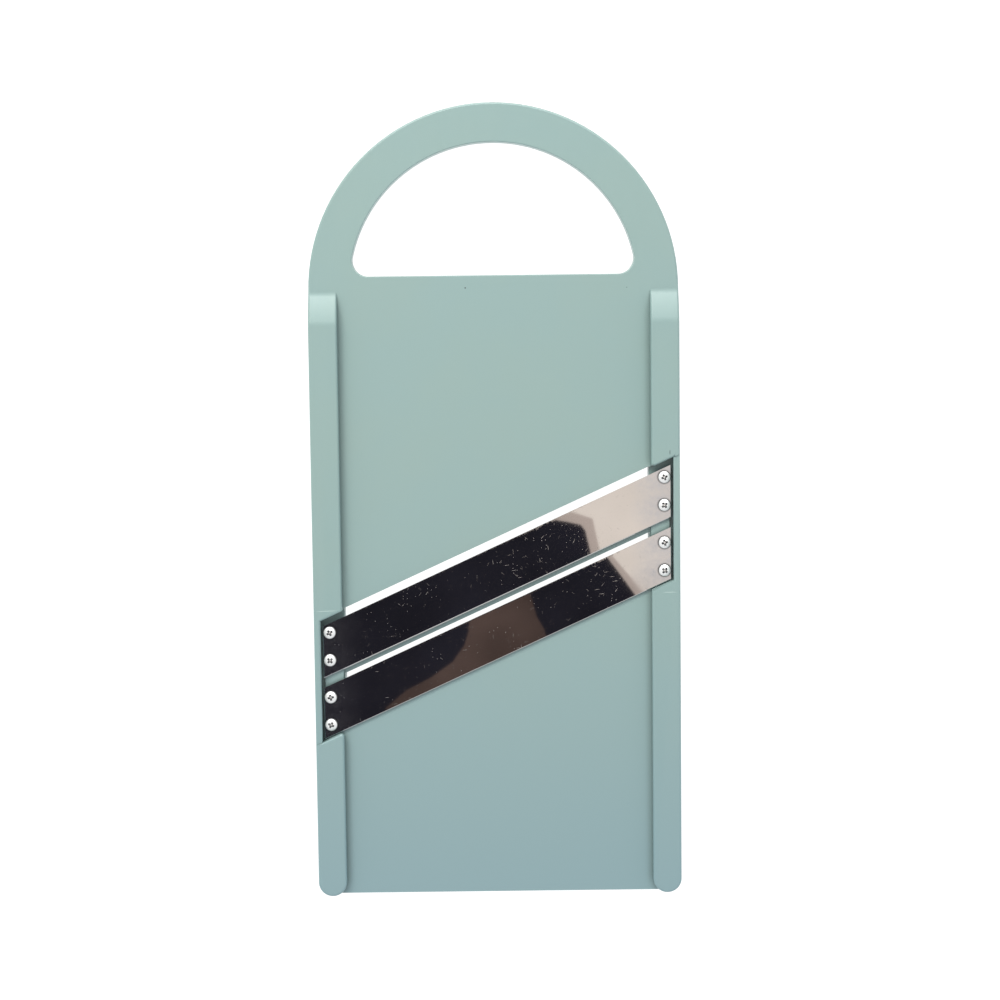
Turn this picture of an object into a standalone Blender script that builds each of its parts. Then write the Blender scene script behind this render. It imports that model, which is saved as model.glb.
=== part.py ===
"""Mandoline slicer: a one-piece moulded board with an arched handle and two side rails.

Two flat steel blades lie one behind the other across it at a slant. Each is held at both ends by
two screws that go down into bosses under the rails.

Metres. +X is across the board, +Y runs towards the handle and +Z is up from the feed deck. The
origin is at the middle of the underside, so the board stands on z = 0.

The blades, the slots and the cuts in the rails all run along slanted lines. Such a line is named
by the place on Y where it crosses the board's centre line, and its front is nearer the handle.
"""

import math

import bmesh
import bpy
from mathutils import Matrix

# The board
BOARD_WIDTH = 0.160
BOARD_LENGTH = 0.3456
FEED_DECK_TOP = 0.0100
OUTFEED_DECK_TOP = 0.0110
DECK_THICKNESS = 0.0026
WALL = 0.0024
TAIL_SETBACK = 0.0004
TAIL_Y = -BOARD_LENGTH / 2

# The handle and its D-shaped finger hole
ARCH_RADIUS = BOARD_WIDTH / 2
ARCH_CENTRE_Y = BOARD_LENGTH / 2 - ARCH_RADIUS
HOLE_RADIUS = 0.0625
HOLE_CENTRE_Y = ARCH_CENTRE_Y + 0.0007
HOLE_FRONT_Y = ARCH_CENTRE_Y + 0.0062
HOLE_CORNER_RADIUS = 0.0070

# The rails, whose tail ends are round and pass the deck's tail edge
RAIL_TOP = 0.0155
RAIL_WIDTH = 0.0124
RAIL_INNER_X = BOARD_WIDTH / 2 - RAIL_WIDTH
RAIL_END_RADIUS = RAIL_WIDTH / 2
RAIL_END = (BOARD_WIDTH / 2 - RAIL_END_RADIUS, TAIL_Y + RAIL_END_RADIUS)
TAIL_LEAN = math.acos(1 - TAIL_SETBACK / RAIL_END_RADIUS)
RAMP_LENGTH = 0.0152
RAMP_TURN = math.radians(16.0)
RAMP_END_Y = ARCH_CENTRE_Y - RAMP_LENGTH

# The slanted lines
SLANT = math.tan(math.radians(24.4))
SLOT_HALF_WIDTH = 0.0669
SLOT_FRONT = -0.0149
BAR_FRONT = -0.0310
BAR_REAR = -0.0437
LIP_FRONT = -0.0620
DECK_STEP = (BAR_REAR + LIP_FRONT) / 2

# The pockets in the rails, which hold the ends of the blades
POCKET_FRONT = -0.0153
POCKET_REAR = -0.0690
POCKET_HALF_WIDTH = 0.0771
POCKET_CORNER_RADIUS = 0.0022
STRIP_DROP = 0.0005
GROOVE_FLOOR = 0.0086
SEAT_HALF_WIDTH = 0.0756
SEAT_FRONT = -0.0194

# The blades
BLADE_HALF_WIDTH = 0.0764
BLADE_LENGTH = 0.0230
BLADE_THICKNESS = 0.0010
CUTTING_BEVEL = 0.0011
BLADE_EDGES = {"upper": -0.0184, "lower": -0.0456}

# The screws
SCREW_X = 0.0733
SCREW_PAIRS = {"upper": -0.0285, "lower": -0.0571}
SCREW_SPACING = 0.0122
HEAD_RADIUS = 0.0028
HEAD_HEIGHT = 0.0016
SHANK_RADIUS = 0.0014
SHANK_LENGTH = 0.0080
RECESS_LENGTH = 0.0028
RECESS_WIDTH = 0.0008
RECESS_DEPTH = 0.0009
BOSS_RADIUS = 0.0033
TIP_CLEARANCE = 0.0012
SCREW_TURN = math.radians(37.0)
SIDE_TURN = math.radians(20.0)

# The ribs under the decks
RIB_THICKNESS = 0.0018
HANDLE_RIBS = 7
HANDLE_HOLLOW_START = math.radians(4.0)
LONG_RIB_X = (-0.0340, 0.0, 0.0340)
CROSS_RIB_Y = (-0.1200, 0.0450)

# Clearances, and how heights add up
GAP = 0.0003
SLIVER = 0.00003
PAST = 0.010
ABOVE = RAIL_TOP + PAST
BELOW = -PAST
BLADE_BOTTOM = OUTFEED_DECK_TOP + GAP
BLADE_TOP = BLADE_BOTTOM + BLADE_THICKNESS
HEAD_BOTTOM = BLADE_TOP + GAP
FEED_CEILING = FEED_DECK_TOP - DECK_THICKNESS
OUTFEED_CEILING = OUTFEED_DECK_TOP - DECK_THICKNESS
RAIL_CEILING = RAIL_TOP - DECK_THICKNESS
SEAT_CEILING = GROOVE_FLOOR - DECK_THICKNESS
HOLE_FLOOR = HEAD_BOTTOM - SHANK_LENGTH - TIP_CLEARANCE

# Roundings and fineness
TOP_ROUNDING = 0.0010
HOLE_ROUNDING = 0.0010
UNDERSIDE_ROUNDING = 0.0008
ROUNDING_SEGMENTS = 4
CORNER_SEGMENTS = 6
ARC_STEP = math.radians(3.0)
SCREW_SIDES = 20
DOME_STEPS = 5
MERGE = 1e-6
FLAT = math.radians(0.5)
SHARP = math.radians(35.0)
SMOOTH = math.radians(20.0)


def new_collection(name):
    collection = bpy.data.collections.new(name)
    bpy.context.scene.collection.children.link(collection)
    return collection


def clear_scene():
    for obj in list(bpy.data.objects):
        bpy.data.objects.remove(obj)
    for collection in list(bpy.data.collections):
        bpy.data.collections.remove(collection)


def on_slant(line, x):
    """The place on Y where a slanted line passes the given x."""
    return line + x * SLANT


def is_on_slant(point, line):
    return abs(point.y - on_slant(line, point.x)) < MERGE


def slanted_strip(x0, x1, front, rear):
    """The area between two slanted lines, from x0 to x1."""
    return [
        (x0, on_slant(rear, x0)),
        (x1, on_slant(rear, x1)),
        (x1, on_slant(front, x1)),
        (x0, on_slant(front, x0)),
    ]


def arc(centre, radius, start, end):
    """Points along an arc, both ends included. Angles are in radians from +X."""
    steps = max(1, math.ceil(abs(end - start) / ARC_STEP - MERGE))
    angles = [start + (end - start) * i / steps for i in range(steps + 1)]
    return [(centre[0] + radius * math.cos(a), centre[1] + radius * math.sin(a)) for a in angles]


def mirrored(points):
    """The same points across the centre line, in the opposite order."""
    return [(-x, y) for x, y in reversed(points)]


def new_solid(name, mesh, collection):
    solid = bpy.data.objects.new(name, bpy.data.meshes.new(name))
    collection.objects.link(solid)
    write_mesh(mesh, solid)
    return solid


def read_mesh(obj):
    mesh = bmesh.new()
    mesh.from_mesh(obj.data)
    return mesh


def write_mesh(mesh, obj):
    mesh.to_mesh(obj.data)
    mesh.free()


def join_flats(mesh):
    """Merges doubled points and joins faces that lie in one plane."""
    bmesh.ops.remove_doubles(mesh, verts=mesh.verts, dist=MERGE)
    bmesh.ops.dissolve_limit(mesh, angle_limit=FLAT, verts=mesh.verts, edges=mesh.edges)


def prism(name, outline, bottom, top, collection):
    """A flat outline made into a solid between two heights."""
    curve = bpy.data.curves.new(name, "CURVE")
    curve.dimensions = "2D"
    curve.fill_mode = "BOTH"
    curve.extrude = (top - bottom) / 2
    spline = curve.splines.new("POLY")
    spline.points.add(len(outline) - 1)
    for point, (x, y) in zip(spline.points, outline):
        point.co = (x, y, 0.0, 1.0)
    spline.use_cyclic_u = True
    shape = bpy.data.objects.new(name + "_outline", curve)
    collection.objects.link(shape)
    graph = bpy.context.evaluated_depsgraph_get()
    solid = bpy.data.objects.new(name, bpy.data.meshes.new_from_object(shape.evaluated_get(graph)))
    bpy.data.objects.remove(shape)
    bpy.data.curves.remove(curve)
    collection.objects.link(solid)
    mesh = read_mesh(solid)
    for vert in mesh.verts:
        vert.co.z = top if vert.co.z > 0 else bottom
    join_flats(mesh)
    bmesh.ops.recalc_face_normals(mesh, faces=mesh.faces)
    write_mesh(mesh, solid)
    return solid


def side_prism(name, profile, collection):
    """A profile drawn in Y and Z, made into a solid right across the board."""
    solid = prism(name, profile, -BOARD_WIDTH, BOARD_WIDTH, collection)
    to_side = Matrix(((0, 0, 1, 0), (1, 0, 0, 0), (0, 1, 0, 0), (0, 0, 0, 1)))
    solid.data.transform(to_side)
    return solid


def cylinders(name, radius, bottom, top, places, collection):
    """One mesh that holds an upright cylinder at each place."""
    mesh = bmesh.new()
    size = {"radius1": radius, "radius2": radius, "depth": top - bottom}
    for x, y in places:
        middle = Matrix.Translation((x, y, (bottom + top) / 2))
        bmesh.ops.create_cone(mesh, cap_ends=True, segments=SCREW_SIDES, matrix=middle, **size)
    return new_solid(name, mesh, collection)


def boxes(name, size, places, collection):
    """One mesh that holds a box of this size at each place, which is a matrix."""
    mesh = bmesh.new()
    for place in places:
        bmesh.ops.create_cube(mesh, size=1.0, matrix=place @ Matrix.Diagonal((*size, 1.0)))
    return new_solid(name, mesh, collection)


def bake(obj):
    """Replaces an object's mesh by what its modifiers make of it."""
    graph = bpy.context.evaluated_depsgraph_get()
    mesh = bpy.data.meshes.new_from_object(obj.evaluated_get(graph))
    obj.modifiers.clear()
    old = obj.data
    obj.data = mesh
    bpy.data.meshes.remove(old)


def cut(obj, *cutters):
    for cutter in cutters:
        boolean = obj.modifiers.new(cutter.name, "BOOLEAN")
        boolean.operation = "DIFFERENCE"
        boolean.solver = "EXACT"
        boolean.object = cutter
        bake(obj)


def middle_of(edge):
    return (edge.verts[0].co + edge.verts[1].co) / 2


def round_edges(obj, is_chosen, radius, segments=ROUNDING_SEGMENTS):
    """Rounds the chosen ones among an object's sharp outward edges."""
    mesh = read_mesh(obj)
    join_flats(mesh)
    edges = [
        edge
        for edge in mesh.edges
        if edge.is_manifold and edge.calc_face_angle_signed() > SHARP and is_chosen(edge)
    ]
    bmesh.ops.bevel(
        mesh,
        geom=edges,
        offset=radius,
        segments=segments,
        profile=0.5,
        affect="EDGES",
        clamp_overlap=True,
    )
    join_flats(mesh)
    write_mesh(mesh, obj)


def finish(obj, its_material):
    """Gives an object its material, and shades its rounded faces smooth."""
    obj.data.materials.clear()
    obj.data.materials.append(its_material)
    obj.data.shade_smooth()
    obj.data.set_sharp_from_angle(angle=SMOOTH)


def material(name, colour, roughness, metallic):
    made = bpy.data.materials.new(name)
    made.use_nodes = True
    shader = made.node_tree.nodes["Principled BSDF"]
    shader.inputs["Base Color"].default_value = (*colour, 1.0)
    shader.inputs["Roughness"].default_value = roughness
    shader.inputs["Metallic"].default_value = metallic
    return made


def board_outline():
    """The board seen from above: a half-round handle, straight sides and round rail ends."""
    down = -math.pi / 2
    to_tip = arc(RAIL_END, RAIL_END_RADIUS, down - TAIL_LEAN, down)
    from_tip = arc(RAIL_END, RAIL_END_RADIUS, down, 0.0)
    right_end = to_tip[:-1] + from_tip
    return right_end + arc((0.0, ARCH_CENTRE_Y), ARCH_RADIUS, 0.0, math.pi) + mirrored(right_end)


def hole_outline():
    """The D-shaped finger hole seen from above."""
    corner_y = HOLE_FRONT_Y + HOLE_CORNER_RADIUS
    corner_x = math.sqrt((HOLE_RADIUS - HOLE_CORNER_RADIUS) ** 2 - (corner_y - HOLE_CENTRE_Y) ** 2)
    meet = math.atan2(corner_y - HOLE_CENTRE_Y, corner_x)
    right_corner = arc((corner_x, corner_y), HOLE_CORNER_RADIUS, -math.pi / 2, meet)
    over = arc((0.0, HOLE_CENTRE_Y), HOLE_RADIUS, meet, math.pi - meet)
    return right_corner[:-1] + over + mirrored(right_corner)[1:]


def feed_outline():
    """The space over the feed deck, from past the foot of the ramps to the slanted deck step."""
    front = ARCH_CENTRE_Y + PAST
    return [
        (-RAIL_INNER_X, on_slant(DECK_STEP, -RAIL_INNER_X)),
        (RAIL_INNER_X, on_slant(DECK_STEP, RAIL_INNER_X)),
        (RAIL_INNER_X, front),
        (-RAIL_INNER_X, front),
    ]


def outfeed_outline():
    """The space over the outfeed deck, from the slanted deck step to past the tail."""
    end = arc(RAIL_END, RAIL_END_RADIUS, 1.5 * math.pi - TAIL_LEAN, math.pi)
    right = [(end[0][0], TAIL_Y - PAST)] + end + [(RAIL_INNER_X, on_slant(DECK_STEP, RAIL_INNER_X))]
    left = mirrored(right)
    left[0] = (-RAIL_INNER_X, on_slant(DECK_STEP, -RAIL_INNER_X))
    return right + left


def pocket_space(collection):
    """The space in and between the pockets, which has a seat for the blades.

    A groove is left round the seat, ahead of the upper blade and past the ends of both."""
    outline = slanted_strip(-POCKET_HALF_WIDTH, POCKET_HALF_WIDTH, POCKET_FRONT, POCKET_REAR)
    pocket = prism("pocket", outline, GROOVE_FLOOR, ABOVE, collection)
    past_rear = POCKET_REAR - PAST
    seat = slanted_strip(-SEAT_HALF_WIDTH, SEAT_HALF_WIDTH, SEAT_FRONT, past_rear)
    cut(pocket, prism("seat", seat, BELOW, OUTFEED_DECK_TOP, collection))
    return pocket


def above_handle(collection):
    """The space over the handle, which ends in the convex ramps of the two rails."""
    foot = (ARCH_CENTRE_Y, FEED_DECK_TOP)
    head = (RAMP_END_Y, RAIL_TOP)
    radius = math.dist(foot, head) / 2 / math.sin(RAMP_TURN / 2)
    fall = math.atan2(head[1] - foot[1], foot[0] - head[0])
    first = math.pi / 2 - fall - RAMP_TURN / 2
    centre = (foot[0] - radius * math.cos(first), foot[1] - radius * math.sin(first))
    ramp = arc(centre, radius, first, first + RAMP_TURN)
    ramp[0], ramp[-1] = foot, head
    far = BOARD_LENGTH / 2 + PAST
    beyond = [(head[0], ABOVE), (far, ABOVE), (far, FEED_DECK_TOP)]
    return side_prism("above_handle", ramp + beyond, collection)


def strip_step(side, collection):
    """A thin wedge that lowers the strip outside a pocket, most at its acute corner.

    The wedge's shallow end lies a sliver above the rail, so that the two share no plane."""
    x0, x1 = sorted((side * POCKET_HALF_WIDTH, side * (BOARD_WIDTH / 2 + PAST)))
    outline = slanted_strip(x0, x1, POCKET_FRONT, POCKET_REAR)
    wedge = prism(f"strip_step_{side}", outline, RAIL_TOP - STRIP_DROP, ABOVE, collection)
    shallow = POCKET_REAR if side > 0 else POCKET_FRONT
    for vert in wedge.data.vertices:
        if vert.co.z < RAIL_TOP and is_on_slant(vert.co, shallow):
            vert.co.z = RAIL_TOP + SLIVER
    return wedge


def handle_hollow(collection):
    """The channel under the handle, with ribs left standing across it at even angles."""
    start, end = HANDLE_HOLLOW_START, math.pi - HANDLE_HOLLOW_START
    outer = arc((0.0, ARCH_CENTRE_Y), ARCH_RADIUS - WALL, start, end)
    inner = arc((0.0, HOLE_CENTRE_Y), HOLE_RADIUS + WALL, end, start)
    hollow = prism("handle_hollow", outer + inner, BELOW, FEED_CEILING, collection)
    to_middle = Matrix.Translation(((ARCH_RADIUS + HOLE_RADIUS) / 2, 0.0, 0.0))
    to_centre = Matrix.Translation((0.0, ARCH_CENTRE_Y, 0.0))
    angles = [math.pi * (i + 1) / (HANDLE_RIBS + 1) for i in range(HANDLE_RIBS)]
    places = [to_centre @ Matrix.Rotation(angle, 4, "Z") @ to_middle for angle in angles]
    size = (2 * (ARCH_RADIUS - HOLE_RADIUS), RIB_THICKNESS, 2 * ABOVE)
    cut(hollow, boxes("handle_ribs", size, places, collection))
    return hollow


def deck_hollow(name, outline, ceiling, collection):
    """A hollow under a deck, with the long and the cross ribs left standing in it."""
    hollow = prism(name, outline, BELOW, ceiling, collection)
    along = [Matrix.Translation((x, 0.0, 0.0)) for x in LONG_RIB_X]
    across = [Matrix.Translation((0.0, y, 0.0)) for y in CROSS_RIB_Y]
    long_size = (RIB_THICKNESS, 2 * BOARD_LENGTH, 2 * ABOVE)
    cross_size = (2 * BOARD_WIDTH, RIB_THICKNESS, 2 * ABOVE)
    cut(
        hollow,
        boxes(name + "_long_ribs", long_size, along, collection),
        boxes(name + "_cross_ribs", cross_size, across, collection),
    )
    return hollow


def screw_places(side):
    """The four screws on one side, from the handle to the tail."""
    x = side * SCREW_X
    middles = [on_slant(line, x) for line in SCREW_PAIRS.values()]
    return [(x, middle + step) for middle in middles for step in (SCREW_SPACING / 2, -SCREW_SPACING / 2)]


def rail_hollows(side, collection):
    """The hollows under one rail, and the ones between its screw bosses."""
    x0, x1 = sorted((side * (RAIL_INNER_X + WALL), side * (BOARD_WIDTH / 2 - WALL)))
    front = max(on_slant(POCKET_FRONT, x0), on_slant(POCKET_FRONT, x1)) + WALL
    rear = min(on_slant(POCKET_REAR, x0), on_slant(POCKET_REAR, x1)) - WALL
    spans = {
        "front": (front, RAMP_END_Y, RAIL_CEILING),
        "rear": (RAIL_END[1], rear, RAIL_CEILING),
    }
    screws = screw_places(side)
    for i, (ahead, behind) in enumerate(zip(screws, screws[1:])):
        spans[f"between_{i}"] = (behind[1] + BOSS_RADIUS, ahead[1] - BOSS_RADIUS, SEAT_CEILING)
    hollows = []
    for place, (y0, y1, ceiling) in spans.items():
        outline = [(x0, y0), (x1, y0), (x1, y1), (x0, y1)]
        hollows.append(prism(f"rail_{place}_{side}", outline, BELOW, ceiling, collection))
    return hollows


def is_acute_corner(edge):
    """Tells the upright edge where a rail is cut at a sharp angle beside a pocket."""
    middle = middle_of(edge)
    is_upright = abs(edge.verts[0].co.z - edge.verts[1].co.z) > 2 * TOP_ROUNDING
    line = POCKET_FRONT if middle.x > 0 else POCKET_REAR
    is_at_rail = abs(abs(middle.x) - RAIL_INNER_X) < MERGE
    return is_upright and is_at_rail and is_on_slant(middle, line)


def is_around_hole(point):
    from_centre = math.hypot(point.x, point.y - HOLE_CENTRE_Y)
    return from_centre < HOLE_RADIUS + MERGE and point.y > HOLE_FRONT_Y - MERGE


def is_hole_rim(edge):
    middle = middle_of(edge)
    return middle.z > FEED_DECK_TOP - MERGE and is_around_hole(middle)


def is_top_edge(edge):
    """Tells the handle's outer edge, and the edges of the rails' tops and ramps."""
    middle = middle_of(edge)
    is_on_handle = middle.y > ARCH_CENTRE_Y - MERGE and middle.z > FEED_DECK_TOP - MERGE
    is_high = middle.z > RAIL_TOP - MERGE or middle.y > RAMP_END_Y
    is_on_rail = abs(middle.x) > RAIL_INNER_X - MERGE and middle.z > FEED_DECK_TOP and is_high
    return (is_on_handle and not is_around_hole(middle)) or is_on_rail


def is_bottom_edge(edge):
    return middle_of(edge).z < MERGE


def shape_top(board, cutters):
    """Cuts the decks, the ramps, the finger hole and the pockets, and rounds the top edges."""
    cut(
        board,
        above_handle(cutters),
        prism("feed_channel", feed_outline(), FEED_DECK_TOP, ABOVE, cutters),
        prism("outfeed_channel", outfeed_outline(), OUTFEED_DECK_TOP, ABOVE, cutters),
        pocket_space(cutters),
        prism("finger_hole", hole_outline(), BELOW, ABOVE, cutters),
    )
    round_edges(board, is_acute_corner, POCKET_CORNER_RADIUS, CORNER_SEGMENTS)
    round_edges(board, is_hole_rim, HOLE_ROUNDING)
    round_edges(board, is_top_edge, TOP_ROUNDING)
    round_edges(board, is_bottom_edge, UNDERSIDE_ROUNDING)
    cut(board, strip_step(1, cutters), strip_step(-1, cutters))


def shape_underside(board, cutters):
    """Opens the slots, and hollows the board from beneath."""
    half = SLOT_HALF_WIDTH
    inner = RAIL_INNER_X
    slanted_wall = WALL / math.cos(math.atan(SLANT))
    feed_rear = SLOT_FRONT + slanted_wall
    feed_front = HOLE_FRONT_Y - HOLE_ROUNDING - WALL
    feed = [
        (-inner, on_slant(feed_rear, -inner)),
        (inner, on_slant(feed_rear, inner)),
        (inner, feed_front),
        (-inner, feed_front),
    ]
    outfeed_front = LIP_FRONT - slanted_wall
    outfeed_rear = TAIL_Y + TAIL_SETBACK + WALL
    outfeed = [
        (-inner, outfeed_rear),
        (inner, outfeed_rear),
        (inner, on_slant(outfeed_front, inner)),
        (-inner, on_slant(outfeed_front, -inner)),
    ]
    bar = slanted_strip(WALL - half, half - WALL, BAR_FRONT - slanted_wall, BAR_REAR + slanted_wall)
    upper_slot = slanted_strip(-half, half, SLOT_FRONT, BAR_FRONT)
    lower_slot = slanted_strip(-half, half, BAR_REAR, LIP_FRONT)
    holes = screw_places(1) + screw_places(-1)
    cut(
        board,
        prism("upper_slot", upper_slot, BELOW, ABOVE, cutters),
        prism("lower_slot", lower_slot, BELOW, ABOVE, cutters),
        handle_hollow(cutters),
        deck_hollow("feed_hollow", feed, FEED_CEILING, cutters),
        deck_hollow("outfeed_hollow", outfeed, OUTFEED_CEILING, cutters),
        prism("bar_hollow", bar, BELOW, FEED_CEILING, cutters),
        *rail_hollows(1, cutters),
        *rail_hollows(-1, cutters),
        cylinders("screw_holes", SHANK_RADIUS + GAP, HOLE_FLOOR, ABOVE, holes, cutters),
    )


def make_board(parts, cutters):
    board = prism("board", board_outline(), 0.0, RAIL_TOP, parts)
    shape_top(board, cutters)
    shape_underside(board, cutters)
    finish(board, material("board_plastic", (0.330, 0.480, 0.456), 0.42, 0.0))


def make_blade(name, parts, cutters):
    """One blade: a flat parallelogram, bevelled underneath along the edge that faces the handle."""
    edge = BLADE_EDGES[name]
    outline = slanted_strip(-BLADE_HALF_WIDTH, BLADE_HALF_WIDTH, edge, edge - BLADE_LENGTH)
    blade = prism(name + "_blade", outline, BLADE_BOTTOM, BLADE_TOP, parts)
    for vert in blade.data.vertices:
        if is_on_slant(vert.co, edge) and vert.co.z < BLADE_BOTTOM + MERGE:
            vert.co.y -= CUTTING_BEVEL
    first = 2 * list(SCREW_PAIRS).index(name)
    places = [place for side in (1, -1) for place in screw_places(side)[first : first + 2]]
    holes = cylinders(name + "_blade_holes", SHANK_RADIUS + GAP, 0.0, ABOVE, places, cutters)
    cut(blade, holes)
    finish(blade, material(name + "_blade_steel", (0.62, 0.60, 0.58), 0.08, 1.0))


def screw_profile():
    """Half of a screw's section, from the top of its domed head down to its point."""
    sphere = (HEAD_RADIUS**2 + HEAD_HEIGHT**2) / (2 * HEAD_HEIGHT)
    widest = math.asin(HEAD_RADIUS / sphere)
    angles = [widest * i / DOME_STEPS for i in range(DOME_STEPS + 1)]
    dome = [(sphere * math.sin(a), HEAD_HEIGHT - sphere * (1 - math.cos(a))) for a in angles]
    cone_top = 2 * SHANK_RADIUS - SHANK_LENGTH
    return dome + [(SHANK_RADIUS, 0.0), (SHANK_RADIUS, cone_top), (0.0, -SHANK_LENGTH)]


def screw_mesh(parts, cutters):
    """A turned screw with a cross recess, standing on z = 0 at the underside of its head."""
    mesh = bpy.data.meshes.new("screw")
    points = [(x, 0.0, z) for x, z in screw_profile()]
    mesh.from_pydata(points, [(i, i + 1) for i in range(len(points) - 1)], [])
    screw = bpy.data.objects.new("screw", mesh)
    parts.objects.link(screw)
    turn = screw.modifiers.new("turn", "SCREW")
    turn.angle = 2 * math.pi
    turn.steps = turn.render_steps = SCREW_SIDES
    turn.use_merge_vertices = True
    turn.merge_threshold = MERGE
    bake(screw)
    size = (RECESS_LENGTH, RECESS_WIDTH, 2 * RECESS_DEPTH)
    for i, angle in enumerate((0.0, math.pi / 2)):
        place = Matrix.Translation((0.0, 0.0, HEAD_HEIGHT)) @ Matrix.Rotation(angle, 4, "Z")
        cut(screw, boxes(f"screw_recess_{i}", size, [place], cutters))
    finish(screw, material("screw_zinc", (0.80, 0.80, 0.79), 0.25, 1.0))
    mesh = screw.data
    bpy.data.objects.remove(screw)
    return mesh


def make_screws(parts, cutters):
    """Eight equal screws, each turned to a different angle as hand-driven screws are."""
    mesh = screw_mesh(parts, cutters)
    for side, side_name in ((-1, "left"), (1, "right")):
        for i, (x, y) in enumerate(screw_places(side)):
            screw = bpy.data.objects.new(f"screw_{side_name}_{i + 1}", mesh)
            screw.location = (x, y, HEAD_BOTTOM)
            screw.rotation_euler.z = SCREW_TURN * i + SIDE_TURN * side
            parts.objects.link(screw)


def main():
    clear_scene()
    parts = new_collection("mandoline_slicer")
    cutters = new_collection("cutters")
    make_board(parts, cutters)
    for name in BLADE_EDGES:
        make_blade(name, parts, cutters)
    make_screws(parts, cutters)
    for cutter in cutters.objects:
        cutter.hide_render = True
        cutter.display_type = "WIRE"


main()
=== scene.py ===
"""Looks of the mandoline slicer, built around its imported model, in metres and in the model's frame."""

import math

import bmesh
import bpy
from mathutils import Matrix, Vector


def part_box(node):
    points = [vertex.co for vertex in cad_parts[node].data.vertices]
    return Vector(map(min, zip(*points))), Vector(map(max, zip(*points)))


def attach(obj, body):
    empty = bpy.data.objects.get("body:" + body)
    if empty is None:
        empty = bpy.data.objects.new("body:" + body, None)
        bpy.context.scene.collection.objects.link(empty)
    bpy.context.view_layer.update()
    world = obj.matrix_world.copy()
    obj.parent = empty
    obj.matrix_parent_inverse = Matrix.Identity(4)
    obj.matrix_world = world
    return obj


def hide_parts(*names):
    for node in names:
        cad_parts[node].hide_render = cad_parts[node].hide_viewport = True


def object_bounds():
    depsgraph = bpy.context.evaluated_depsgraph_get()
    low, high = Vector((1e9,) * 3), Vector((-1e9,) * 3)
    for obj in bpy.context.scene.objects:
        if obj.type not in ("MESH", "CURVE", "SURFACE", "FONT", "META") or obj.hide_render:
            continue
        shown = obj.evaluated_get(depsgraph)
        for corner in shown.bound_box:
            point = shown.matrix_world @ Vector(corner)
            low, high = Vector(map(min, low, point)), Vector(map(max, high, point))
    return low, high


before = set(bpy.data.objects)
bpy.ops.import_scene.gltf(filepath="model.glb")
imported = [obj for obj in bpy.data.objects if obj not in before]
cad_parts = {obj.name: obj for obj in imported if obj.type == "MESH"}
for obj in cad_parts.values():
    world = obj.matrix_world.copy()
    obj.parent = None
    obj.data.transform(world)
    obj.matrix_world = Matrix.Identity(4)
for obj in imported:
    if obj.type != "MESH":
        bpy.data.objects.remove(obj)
cad_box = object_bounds()

# The camera: looking down on the board from over the foot of its handle
CAMERA_PLACE = Vector((0.00120, 0.0889, 0.9458))
CAMERA_TILT = math.radians(5.34)
CAMERA_YAW = math.radians(0.04)
CAMERA_ROLL = math.radians(0.684)
LENS = 77.62
SENSOR = 36.0

# The blades, whose slanted lines rise towards +X
SLANT_ANGLE = math.radians(24.4)
SLANT = math.tan(SLANT_ANGLE)
BLADES = ("upper_blade", "lower_blade")
BLADE_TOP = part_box("upper_blade")[1].z
BLADE_LENGTH = 0.0230
BLADE_ROUGHNESS = 0.022
HAZE_ROUGHNESS = 0.16
HAZE_SIZE = (0.0150, 0.0110)
# How far past each screw's head the painted shade on the blade reaches
SHADE_MARGIN = 0.00035
MARK_ROUGHNESS = 0.34
GRINDING_REACH = 0.0016
GRINDING_STRENGTH = 0.35
BLADE_WAVES = 0.000008

# Hairlines on the blades: turn in degrees, and cells of the pattern per metre
HAIRLINES = ((8.0, 430.0), (52.0, 470.0), (97.0, 400.0), (141.0, 510.0))
HAIRLINE_STRETCH = 0.07

# The plastic: where its colour turns darker and bluer towards the tail as painted shade, the painted shade
# in its corners, gloss and grain
TAIL_START = -0.020
TAIL_END = -0.170
# How far the painted shade in the plastic's corners reaches
CORNER_SHADE_REACH = 0.0045
PLASTIC_ROUGHNESS = (0.33, 0.41)
PLASTIC_GRAIN = 0.000008

# Colours, as linear red, green and blue
PLASTIC = (0.276, 0.404, 0.395)
PLASTIC_WARM = (0.281, 0.405, 0.389)
# Painted shade: the plastic's colour towards the tail, darker and bluer where the light falls off
PLASTIC_TAIL_SHADED = (0.245, 0.375, 0.404)
# Painted shade in the plastic's corners and beside the rails
PLASTIC_SHADE = (0.120, 0.185, 0.180)
SPECK = (0.020, 0.030, 0.030)
WITNESS = (0.440, 0.580, 0.560)
STEEL = (0.610, 0.595, 0.580)
# Painted shade round the screw heads on the blades
STEEL_RING_SHADE = (0.090, 0.088, 0.086)
STEEL_HAZE = (0.400, 0.460, 0.560)
ZINC = (0.950, 0.950, 0.940)
ZINC_WORN = (0.860, 0.860, 0.870)
# Painted shade on the screw heads' rims
ZINC_RIM_SHADE = (0.060, 0.062, 0.065)
# Painted shade in the screw recesses
RECESS_SHADE = (0.030, 0.032, 0.034)
WHITE = (1.0, 1.0, 1.0)

# The screws: a low dome with a rounded rim, and a tapered cross recess
HEAD_RADIUS = 0.0028
HEAD_HEIGHT = 0.0016
RIM_HEIGHT = 0.00035
RIM_RADIUS = 0.0005
SHANK_RADIUS = 0.0014
SHANK_LENGTH = 0.0080
RECESS_ARM = 0.00165
RECESS_HALF_WIDTH = 0.00050
RECESS_DEPTH = 0.0010
RECESS_TAPER = 0.36
# Where the painted shade on a screw head's rim begins
WHITE_RADIUS = 0.00235
ZINC_METALLIC = 0.45
ZINC_ROUGHNESS = (0.26, 0.40)
ZINC_WEAR = 0.000004
SCREW_SIDES = 48
DOME_STEPS = 8
RIM_STEPS = 4

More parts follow.
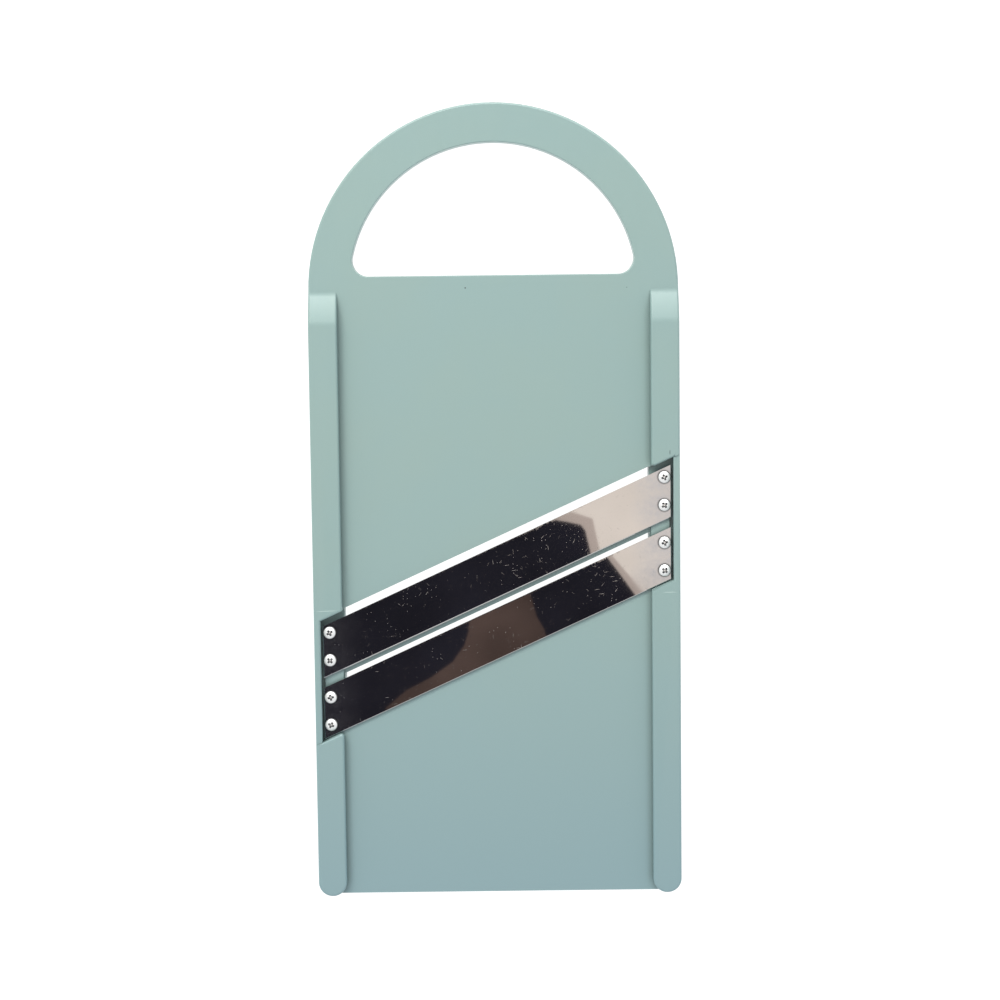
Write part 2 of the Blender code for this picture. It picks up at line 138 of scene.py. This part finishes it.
# How far each screw's recess is turned, in degrees
SCREW_TURNS = {
    "screw_right_1": 22.0, "screw_right_2": 38.0, "screw_right_3": 15.0, "screw_right_4": 50.0,
    "screw_left_1": 30.0, "screw_left_2": 44.0, "screw_left_3": 12.0, "screw_left_4": 65.0,
}

# Fine bevels on the look meshes' square edges: their widths, and the shortest edge that gets one
LONG_EDGE = 0.004
BLADE_BEVEL = 0.00040
CUT_BEVEL = 0.00025
SQUARE = (math.radians(60.0), math.radians(100.0))

# Angles in degrees from which an edge is shaded sharp
BOARD_SHARP = 25.0
BLADE_SHARP = 20.0
SCREW_SHARP = 40.0

# The rails' height, and how near a point has to be to a surface to count as on it
RAIL_TOP = cad_box[1][2]
FLAT = 0.00004

# Bright screens: name, nearest and farthest angle off the vertical, and strength
GLOSS_SCREENS = (
    ("gloss_screen_near", 24.0, 44.0, 2.8),
    ("gloss_screen_far", 44.0, 86.0, 4.8),
)

# The stage: world, softbox and floor
WORLD_COLOUR = (0.97, 1.0, 1.03)
WORLD_STRENGTH = 0.78
SOFTBOX_COLOUR = (1.0, 0.93, 0.82)
SOFTBOX_POWER = 12.0
SOFTBOX_SIZE = (1.1, 0.5)
SOFTBOX_PLACE = (-0.35, 0.95, 0.85)
FLOOR_DROP = 0.0002
FLOOR_HALF_SIZE = 6.0
FLOOR_GREY = (0.20, 0.20, 0.20)

# Marks on the plastic: x, y, half length, half width, turn in degrees
WITNESS_LINES = (
    (0.0754, -0.0393, 0.0031, 0.00016, 0.0),
    (-0.0742, -0.0458, 0.0048, 0.00016, 2.0),
)
DARK_MARKS = (
    (0.0756, 0.0218, 0.0011, 0.00015, 90.0),
    (-0.0121, 0.0936, 0.00034, 0.00030, 0.0),
    (0.0577, 0.0931, 0.00020, 0.00018, 0.0),
)


def add_node(tree, kind, **settings):
    node = tree.nodes.new(kind)
    for name, value in settings.items():
        if name in node.inputs:
            node.inputs[name].default_value = value
        else:
            setattr(node, name, value)
    return node


def new_material(name):
    material = bpy.data.materials.new(name)
    material.use_nodes = True
    return material, material.node_tree, material.node_tree.nodes["Principled BSDF"]


def object_space(tree, turn=0.0, scale=(1.0, 1.0, 1.0), place=(0.0, 0.0, 0.0)):
    """Object coordinates from a place, turned about Z and then scaled."""
    coordinates = tree.nodes.new("ShaderNodeTexCoord")
    mapping = add_node(tree, "ShaderNodeMapping", vector_type="TEXTURE")
    mapping.inputs["Location"].default_value = place
    mapping.inputs["Rotation"].default_value = (0.0, 0.0, turn)
    mapping.inputs["Scale"].default_value = [1.0 / s for s in scale]
    tree.links.new(coordinates.outputs["Object"], mapping.inputs["Vector"])
    return mapping.outputs["Vector"]


def noise(tree, vector, scale, detail=2.0, roughness=0.5):
    node = add_node(tree, "ShaderNodeTexNoise", Scale=scale, Detail=detail, Roughness=roughness)
    tree.links.new(vector, node.inputs["Vector"])
    return node.outputs["Fac"]


def ramp(tree, value, low, high, to_low=0.0, to_high=1.0):
    node = tree.nodes.new("ShaderNodeMapRange")
    for name, number in zip(("From Min", "From Max", "To Min", "To Max"), (low, high, to_low, to_high)):
        node.inputs[name].default_value = number
    tree.links.new(value, node.inputs["Value"])
    return node.outputs["Result"]


def combine(tree, operation, *values):
    """A maths node on sockets and numbers."""
    node = add_node(tree, "ShaderNodeMath", operation=operation)
    for socket, value in zip(node.inputs, values):
        if isinstance(value, (int, float)):
            socket.default_value = value
        else:
            tree.links.new(value, socket)
    return node.outputs["Value"]


def mix_colours(tree, factor, first, second):
    node = add_node(tree, "ShaderNodeMix", data_type="RGBA")
    tree.links.new(factor, node.inputs["Factor"])
    slots = [s for s in node.inputs if s.type == "RGBA"]
    for colour, socket in zip((first, second), slots):
        if isinstance(colour, tuple):
            socket.default_value = (*colour, 1.0)
        else:
            tree.links.new(colour, socket)
    return [s for s in node.outputs if s.type == "RGBA"][0]


def add_bump(tree, shader, height, distance):
    node = add_node(tree, "ShaderNodeBump", Strength=1.0, Distance=distance)
    tree.links.new(height, node.inputs["Height"])
    tree.links.new(node.outputs["Normal"], shader.inputs["Normal"])


def split(tree, vector):
    node = tree.nodes.new("ShaderNodeSeparateXYZ")
    tree.links.new(vector, node.inputs["Vector"])
    return node.outputs


def spot(tree, x, y, half_length, half_width, turn, solid=0.7):
    """1 inside an ellipse on the surface and 0 outside it, fading from its solid share outwards."""
    scale = (1.0 / half_length, 1.0 / half_width, 0.0)
    mapping = object_space(tree, math.radians(turn), (1.0, 1.0, 1.0), (x, y, 0.0))
    stretched = add_node(tree, "ShaderNodeVectorMath", operation="MULTIPLY")
    stretched.inputs[1].default_value = scale
    tree.links.new(mapping, stretched.inputs[0])
    length = add_node(tree, "ShaderNodeVectorMath", operation="LENGTH")
    tree.links.new(stretched.outputs["Vector"], length.inputs[0])
    return ramp(tree, length.outputs["Value"], solid, 1.1, 1.0, 0.0)


def any_of(tree, masks):
    total = masks[0]
    for mask in masks[1:]:
        total = combine(tree, "MAXIMUM", total, mask)
    return total


def scattered(tree, vector, scale, radius, share):
    """Small spots strewn at random, in the given share of the cells of a Voronoi pattern."""
    cells = add_node(tree, "ShaderNodeTexVoronoi", voronoi_dimensions="2D", Scale=scale)
    tree.links.new(vector, cells.inputs["Vector"])
    is_near = ramp(tree, cells.outputs["Distance"], radius * 0.6, radius, 1.0, 0.0)
    colours = tree.nodes.new("ShaderNodeSeparateColor")
    tree.links.new(cells.outputs["Color"], colours.inputs["Color"])
    is_chosen = combine(tree, "LESS_THAN", colours.outputs["Red"], share)
    return combine(tree, "MULTIPLY", is_near, is_chosen)


def plastic_material():
    material, tree, shader = new_material("board_plastic_look")
    space = object_space(tree)
    tint = ramp(tree, noise(tree, space, 24.0, 3.0, 0.5), 0.40, 0.60)
    colour = mix_colours(tree, tint, PLASTIC, PLASTIC_WARM)
    # Painted shade: the colour turns darker and bluer towards the tail, as the light falls off
    tail_shading = ramp(tree, split(tree, space)[1], TAIL_START, TAIL_END)
    colour = mix_colours(tree, tail_shading, colour, PLASTIC_TAIL_SHADED)
    # Painted shade: the colour darkens in corners and beside the rails, where the plastic is hemmed in
    corners = add_node(tree, "ShaderNodeAmbientOcclusion", Distance=CORNER_SHADE_REACH, samples=8)
    shade = ramp(tree, corners.outputs["AO"], 0.45, 0.90, 0.75, 0.0)
    colour = mix_colours(tree, shade, colour, PLASTIC_SHADE)
    dark = any_of(tree, [spot(tree, *mark) for mark in DARK_MARKS])
    colour = mix_colours(tree, dark, colour, SPECK)
    lines = any_of(tree, [spot(tree, *line) for line in WITNESS_LINES])
    colour = mix_colours(tree, lines, colour, WITNESS)
    tree.links.new(colour, shader.inputs["Base Color"])
    streaks = noise(tree, object_space(tree, 0.0, (1.0, 0.12, 1.0)), 420.0, 3.0, 0.6)
    tree.links.new(ramp(tree, streaks, 0.3, 0.7, *PLASTIC_ROUGHNESS), shader.inputs["Roughness"])
    grain = noise(tree, space, 1900.0, 2.0, 0.6)
    height = combine(tree, "MULTIPLY_ADD", lines, 6.0, grain)
    add_bump(tree, shader, height, PLASTIC_GRAIN)
    return material


def edge_of(blade):
    """Where the blade's cutting edge crosses the board's centre line."""
    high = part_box(blade)[1]
    return high.y - high.x * SLANT


def scratches(tree):
    """Short hairlines at several angles and fine specks, denser in some places than in others."""
    layers = []
    for turn, scale in HAIRLINES:
        space = object_space(tree, math.radians(turn), (HAIRLINE_STRETCH, 1.0, 1.0))
        layers.append(scattered(tree, space, scale, 0.040, 0.40))
    hairlines = combine(tree, "MULTIPLY", any_of(tree, layers), 0.85)
    specks = scattered(tree, object_space(tree), 560.0, 0.090, 0.22)
    crowded = ramp(tree, noise(tree, object_space(tree), 85.0, 2.0), 0.40, 0.60, 0.30, 1.0)
    return combine(tree, "MULTIPLY", any_of(tree, [hairlines, specks]), crowded)


def steel_material(blade):
    material, tree, shader = new_material(blade + "_steel_look")
    shader.inputs["Metallic"].default_value = 1.0
    slanted = object_space(tree, SLANT_ANGLE)
    x, y = split(tree, object_space(tree))[:2]
    across = combine(tree, "SUBTRACT", y, combine(tree, "MULTIPLY", x, SLANT))
    from_edge = combine(tree, "SUBTRACT", edge_of(blade), across)

    hairs = noise(tree, object_space(tree, SLANT_ANGLE, (1.0, 0.10, 1.0)), 1500.0, 2.0, 0.6)
    near_edge = ramp(tree, from_edge, 0.0, GRINDING_REACH, 0.58, 0.30)
    grinding = combine(tree, "LESS_THAN", hairs, near_edge)
    fading = ramp(tree, from_edge, 0.0, GRINDING_REACH, GRINDING_STRENGTH, 0.0)
    grinding = combine(tree, "MULTIPLY", grinding, fading)

    # Painted shade: a dark band round each screw head on its blade, where the head's edge falls in shade
    rings, hazes = [], []
    painted_shade = HEAD_RADIUS + SHADE_MARGIN
    for name in SCREW_TURNS:
        middle = (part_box(name)[0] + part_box(name)[1]) / 2
        line = middle.y - middle.x * SLANT
        if edge_of(blade) - BLADE_LENGTH < line < edge_of(blade):
            place = (middle.x, middle.y)
            rings.append(spot(tree, *place, painted_shade, painted_shade, 0.0))
            hazes.append(spot(tree, *place, *HAZE_SIZE, math.degrees(SLANT_ANGLE), 0.0))
    ring = any_of(tree, rings)
    haze = combine(tree, "MULTIPLY", any_of(tree, hazes), noise(tree, slanted, 420.0, 4.0, 0.65))

    marks = any_of(tree, [scratches(tree), grinding])
    colour = mix_colours(tree, haze, STEEL, STEEL_HAZE)
    colour = mix_colours(tree, ring, colour, STEEL_RING_SHADE)
    tree.links.new(colour, shader.inputs["Base Color"])
    smooth_part = combine(tree, "MULTIPLY_ADD", haze, HAZE_ROUGHNESS, BLADE_ROUGHNESS)
    rough = any_of(tree, [smooth_part, combine(tree, "MULTIPLY", marks, MARK_ROUGHNESS)])
    tree.links.new(rough, shader.inputs["Roughness"])
    waves = noise(tree, object_space(tree, SLANT_ANGLE, (0.5, 1.0, 1.0)), 42.0, 1.0)
    add_bump(tree, shader, waves, BLADE_WAVES)
    return material


def zinc_material():
    material, tree, shader = new_material("screw_zinc_look")
    shader.inputs["Metallic"].default_value = ZINC_METALLIC
    space = object_space(tree)
    tint = ramp(tree, noise(tree, space, 900.0, 3.0, 0.6), 0.35, 0.65, 0.0, 0.25)
    x, y = split(tree, space)[:2]
    squares = combine(tree, "ADD", combine(tree, "MULTIPLY", x, x), combine(tree, "MULTIPLY", y, y))
    radius = combine(tree, "SQRT", squares)
    # Painted shade: the head is dark from WHITE_RADIUS out to its rim, where it falls in shade
    rim = ramp(tree, radius, WHITE_RADIUS, HEAD_RADIUS - 0.0001)
    colour = mix_colours(tree, rim, mix_colours(tree, tint, ZINC, ZINC_WORN), ZINC_RIM_SHADE)
    tree.links.new(colour, shader.inputs["Base Color"])
    wear = noise(tree, space, 2400.0, 3.0, 0.6)
    tree.links.new(ramp(tree, wear, 0.3, 0.7, *ZINC_ROUGHNESS), shader.inputs["Roughness"])
    add_bump(tree, shader, wear, ZINC_WEAR)
    return material


def recess_material():
    material, tree, shader = new_material("screw_recess_look")
    # Painted shade: the recess's sides are dark, in uneven patches, as a deep recess lies in shade
    painted_shade = ramp(tree, noise(tree, object_space(tree), 3000.0, 2.0, 0.6), 0.3, 0.7)
    colour = mix_colours(tree, painted_shade, RECESS_SHADE, tuple(2.5 * c for c in RECESS_SHADE))
    tree.links.new(colour, shader.inputs["Base Color"])
    tree.links.new(ramp(tree, painted_shade, 0.0, 1.0, 0.5, 0.7), shader.inputs["Roughness"])
    return material


def show(name, mesh, material_list, node):
    """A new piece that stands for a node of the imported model."""
    piece = bpy.data.objects.new(name, mesh)
    bpy.context.collection.objects.link(piece)
    mesh.materials.clear()
    for material in material_list:
        mesh.materials.append(material)
    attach(piece, "root")
    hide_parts(node)
    return piece


def shade_by_angle(piece, angle):
    """Shades roundings smooth and keeps flats flat, however large they are."""
    piece.data.shade_smooth()
    piece.data.set_sharp_from_angle(angle=math.radians(angle))
    weights = piece.modifiers.new("weights", "WEIGHTED_NORMAL")
    weights.mode = "FACE_AREA"
    weights.weight = 50
    weights.keep_sharp = True


def cleaned_copy(node):
    """The node's mesh with its points joined and each flat made into one face."""
    maker = bmesh.new()
    maker.from_mesh(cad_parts[node].data)
    bmesh.ops.remove_doubles(maker, verts=maker.verts, dist=0.000001)
    bmesh.ops.dissolve_limit(maker, angle_limit=math.radians(0.1), verts=maker.verts, edges=maker.edges)
    mesh = bpy.data.meshes.new(node + "_look")
    return maker, mesh


def square_edges(maker):
    """The long square edges. The cutting edges are sharper than square and stay as they are.

    Short edges, as round a hole, would hold every bevel down to their own size."""
    long_edges = [e for e in maker.edges if e.is_manifold and e.calc_length() > LONG_EDGE]
    return [e for e in long_edges if SQUARE[0] < e.calc_face_angle_signed() < SQUARE[1]]


def bevel(maker, edges, size):
    bmesh.ops.bevel(
        maker, geom=edges, offset=size, segments=2, profile=0.5, affect="EDGES", clamp_overlap=True
    )


def make_board(material):
    maker, mesh = cleaned_copy("board")
    edges = [e for e in square_edges(maker) if all(v.co.z > RAIL_TOP - FLAT for v in e.verts)]
    bevel(maker, edges, CUT_BEVEL)
    maker.to_mesh(mesh)
    maker.free()
    piece = show("board_look", mesh, [material], "board")
    shade_by_angle(piece, BOARD_SHARP)


def make_blade(node, material):
    maker, mesh = cleaned_copy(node)
    bevel(maker, square_edges(maker), BLADE_BEVEL)
    maker.to_mesh(mesh)
    maker.free()
    piece = show(node + "_look", mesh, [material], node)
    shade_by_angle(piece, BLADE_SHARP)


def dome_sphere():
    """Radius of the sphere that the top of a screw's head is part of."""
    rim_x = HEAD_RADIUS - RIM_RADIUS
    rise = HEAD_HEIGHT - RIM_HEIGHT - RIM_RADIUS
    return (rim_x**2 + rise**2) / (2 * rise)


def head_profile():
    """Half of a screw's section, from the middle of its dome down to its point."""
    rim_x, rim_z = HEAD_RADIUS - RIM_RADIUS, RIM_HEIGHT
    sphere = dome_sphere()
    widest = math.asin(rim_x / sphere)
    dome = []
    for i in range(DOME_STEPS + 1):
        a = widest * i / DOME_STEPS
        dome.append((sphere * math.sin(a), HEAD_HEIGHT - sphere * (1 - math.cos(a))))
    rim = []
    for i in range(1, RIM_STEPS + 1):
        a = widest + (math.pi / 2 - widest) * i / RIM_STEPS
        rim.append((rim_x + RIM_RADIUS * math.sin(a), rim_z + RIM_RADIUS * math.cos(a)))
    point = [(SHANK_RADIUS, 0.0), (SHANK_RADIUS, 2 * SHANK_RADIUS - SHANK_LENGTH), (0.0, -SHANK_LENGTH)]
    return dome + rim + [(HEAD_RADIUS, 0.0)] + point


def turned_mesh(name, profile):
    mesh = bpy.data.meshes.new(name)
    maker = bmesh.new()
    points = [maker.verts.new((x, 0.0, z)) for x, z in profile]
    edges = [maker.edges.new(pair) for pair in zip(points, points[1:])]
    bmesh.ops.spin(
        maker,
        geom=points + edges,
        cent=(0.0, 0.0, 0.0),
        axis=(0.0, 0.0, 1.0),
        angle=2 * math.pi,
        steps=SCREW_SIDES,
        use_merge=True,
    )
    bmesh.ops.remove_doubles(maker, verts=maker.verts, dist=0.000001)
    bmesh.ops.recalc_face_normals(maker, faces=maker.faces)
    maker.to_mesh(mesh)
    maker.free()
    return mesh


def recess_cutter():
    """A cross that narrows towards its foot."""
    a, w = RECESS_ARM, RECESS_HALF_WIDTH
    outline = [(a, -w), (a, w), (w, w), (w, a), (-w, a), (-w, w), (-a, w), (-a, -w), (-w, -w), (-w, -a),
               (w, -a), (w, -w)]
    top = HEAD_HEIGHT + RECESS_DEPTH
    foot = HEAD_HEIGHT - RECESS_DEPTH
    high = 1.0 + (1.0 - RECESS_TAPER)
    points = [(x * RECESS_TAPER, y * RECESS_TAPER, foot) for x, y in outline]
    points += [(x * high, y * high, top) for x, y in outline]
    n = len(outline)
    faces = [tuple(reversed(range(n))), tuple(range(n, 2 * n))]
    faces += [(i, (i + 1) % n, n + (i + 1) % n, n + i) for i in range(n)]
    mesh = bpy.data.meshes.new("recess_cutter")
    mesh.from_pydata(points, [], faces)
    return mesh


def is_recess_wall(face):
    """True for the recess's sides, which lie under the dome and above the recess's floor."""
    radius = math.hypot(face.center.x, face.center.y)
    if radius > HEAD_RADIUS - RIM_RADIUS:
        return False
    dome = HEAD_HEIGHT - dome_sphere() + math.sqrt(dome_sphere() ** 2 - radius**2)
    floor = HEAD_HEIGHT - RECESS_DEPTH
    return floor + FLAT < face.center.z < dome - FLAT


def screw_mesh():
    screw = bpy.data.objects.new("screw_blank", turned_mesh("screw_blank", head_profile()))
    cutter = bpy.data.objects.new("recess_cutter", recess_cutter())
    for obj in (screw, cutter):
        bpy.context.collection.objects.link(obj)
    cut = screw.modifiers.new("recess", "BOOLEAN")
    cut.object = cutter
    cut.solver = "EXACT"
    graph = bpy.context.evaluated_depsgraph_get()
    mesh = bpy.data.meshes.new_from_object(screw.evaluated_get(graph))
    mesh.name = "screw_look"
    for obj in (screw, cutter):
        bpy.data.objects.remove(obj)
    for face in mesh.polygons:
        face.material_index = 1 if is_recess_wall(face) else 0
    return mesh


def make_screws(zinc, recess):
    shape = screw_mesh()
    for node, turn in SCREW_TURNS.items():
        low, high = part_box(node)
        middle = (low + high) / 2
        piece = show(node + "_look", shape.copy(), [zinc, recess], node)
        # show() clears the copy's materials, which also resets its faces' indices
        for face, original in zip(piece.data.polygons, shape.polygons):
            face.material_index = original.material_index
        piece.location = (middle.x, middle.y, high.z - HEAD_HEIGHT)
        piece.rotation_euler.z = math.radians(turn)
        shade_by_angle(piece, SCREW_SHARP)


def emission_material(name, colour, strength, unevenness):
    """A glow that is darker by up to the given share in soft patches."""
    material, tree, shader = new_material(name)
    tree.nodes.remove(shader)
    light = add_node(tree, "ShaderNodeEmission", Strength=strength)
    patches = ramp(tree, noise(tree, object_space(tree), 14.0, 2.0), 0.35, 0.65)
    dim = tuple(c * (1.0 - unevenness) for c in colour)
    tree.links.new(mix_colours(tree, patches, colour, dim), light.inputs["Color"])
    tree.links.new(light.outputs["Emission"], tree.nodes["Material Output"].inputs["Surface"])
    return material


def add_floor():
    mesh = bpy.data.meshes.new("floor")
    maker = bmesh.new()
    bmesh.ops.create_grid(maker, x_segments=1, y_segments=1, size=FLOOR_HALF_SIZE)
    maker.to_mesh(mesh)
    maker.free()
    floor = bpy.data.objects.new("floor", mesh)
    bpy.context.collection.objects.link(floor)
    floor.location.z = -FLOOR_DROP
    material, _, shader = new_material("floor_white")
    shader.inputs["Base Color"].default_value = (*FLOOR_GREY, 1.0)
    shader.inputs["Roughness"].default_value = 0.9
    shader.inputs["Specular IOR Level"].default_value = 0.0
    shader.inputs["Emission Color"].default_value = (*WHITE, 1.0)
    shader.inputs["Emission Strength"].default_value = 1.0
    mesh.materials.append(material)


def add_glossy_card(name, points, colour, strength, unevenness):
    """A glowing card that only reflections see."""
    mesh = bpy.data.meshes.new(name)
    mesh.from_pydata(points, [], [range(len(points))])
    card = bpy.data.objects.new(name, mesh)
    bpy.context.collection.objects.link(card)
    mesh.materials.append(emission_material(name, colour, strength, unevenness))
    card.visible_camera = False
    card.visible_diffuse = False
    card.visible_shadow = False
    card.visible_transmission = False


def add_blade_card(name, outline, lift, colour, unevenness):
    """A card that shows in the blades where its outline is given.

    It hangs at lift times the camera's height over the blades, so that it shows there."""
    foot = CAMERA_PLACE.xy
    height = BLADE_TOP + lift * (CAMERA_PLACE.z - BLADE_TOP)
    places = [foot + (Vector(p) - foot) * (1.0 + lift) for p in outline]
    add_glossy_card(name, [(p.x, p.y, height) for p in places], colour, 1.0, unevenness)


def add_cards():
    cream = [(-0.15, -0.20), (0.15, -0.20), (0.15, 0.10), (-0.15, 0.10)]
    add_blade_card("card_cream", cream, 1.0, (1.12, 1.02, 0.94), 0.10)
    band = [(-0.14, 0.004), (0.0330, -0.0040), (0.0420, -0.0070), (0.0452, -0.0215), (0.0500, -0.0225),
            (0.0560, -0.0300), (0.0650, -0.0405), (0.080, -0.06), (0.080, -0.16), (-0.14, -0.16)]
    add_blade_card("card_band", band, 0.99, (0.68, 0.58, 0.53), 0.10)
    dark = [(-0.14, 0.002), (0.0230, -0.0068), (0.0320, -0.0085), (0.0368, -0.0096), (0.0388, -0.0122),
            (0.0411, -0.0217), (0.0414, -0.0240), (0.0480, -0.0225), (0.0490, -0.0249), (0.0603, -0.0405),
            (0.075, -0.06), (0.075, -0.15), (-0.14, -0.15)]
    add_blade_card("card_dark", dark, 0.98, (0.022, 0.022, 0.033), 0.30)
    brown = [(-0.0118, -0.0489), (-0.0126, -0.0560), (-0.0145, -0.0620), (-0.0195, -0.0692),
             (-0.0300, -0.0765), (-0.0400, -0.0815), (-0.05, -0.09), (0.03, -0.09), (0.0205, -0.0555),
             (0.0172, -0.0495), (0.0138, -0.0372), (0.0100, -0.0389)]
    add_blade_card("card_brown", brown, 0.97, (0.128, 0.088, 0.078), 0.45)


def add_gloss_screens():
    """Tall bright screens past the handle, seen by reflections at these angles off the vertical."""
    reach = 1.25
    half_width = 0.9
    for name, low, high, strength in GLOSS_SCREENS:
        points = []
        for sign, angle in ((-1, high), (1, high), (1, low), (-1, low)):
            angle = math.radians(angle)
            points.append((sign * half_width, 0.09 + reach * math.sin(angle), reach * math.cos(angle)))
        add_glossy_card(name, points, WHITE, strength, 0.0)


def add_lights():
    world = bpy.data.worlds.new("studio")
    bpy.context.scene.world = world
    world.use_nodes = True
    background = world.node_tree.nodes["Background"]
    background.inputs["Color"].default_value = (*WORLD_COLOUR, 1.0)
    background.inputs["Strength"].default_value = WORLD_STRENGTH
    light = bpy.data.lights.new("handle_side_softbox", "AREA")
    light.shape = "RECTANGLE"
    light.size, light.size_y = SOFTBOX_SIZE
    light.energy = SOFTBOX_POWER
    light.color = SOFTBOX_COLOUR
    softbox = bpy.data.objects.new("handle_side_softbox", light)
    bpy.context.collection.objects.link(softbox)
    softbox.location = SOFTBOX_PLACE
    softbox.rotation_euler = (Vector((0.0, 0.0, 0.0)) - softbox.location).to_track_quat("-Z", "Y").to_euler()
    softbox.visible_camera = False
    softbox.visible_glossy = False


def add_camera():
    camera = bpy.data.objects.new("camera", bpy.data.cameras.new("camera"))
    bpy.context.collection.objects.link(camera)
    turn = (
        Matrix.Rotation(-CAMERA_TILT, 4, "X")
        @ Matrix.Rotation(-CAMERA_YAW, 4, "Y")
        @ Matrix.Rotation(-CAMERA_ROLL, 4, "Z")
    )
    camera.matrix_world = Matrix.Translation(CAMERA_PLACE) @ turn
    camera.data.lens = LENS
    camera.data.sensor_width = SENSOR
    camera.data.clip_end = 20.0
    bpy.context.scene.camera = camera


bpy.context.scene.view_settings.view_transform = "Standard"
add_camera()
add_lights()
add_floor()
add_cards()
add_gloss_screens()
make_board(plastic_material())
for blade in BLADES:
    make_blade(blade, steel_material(blade))
make_screws(zinc_material(), recess_material())
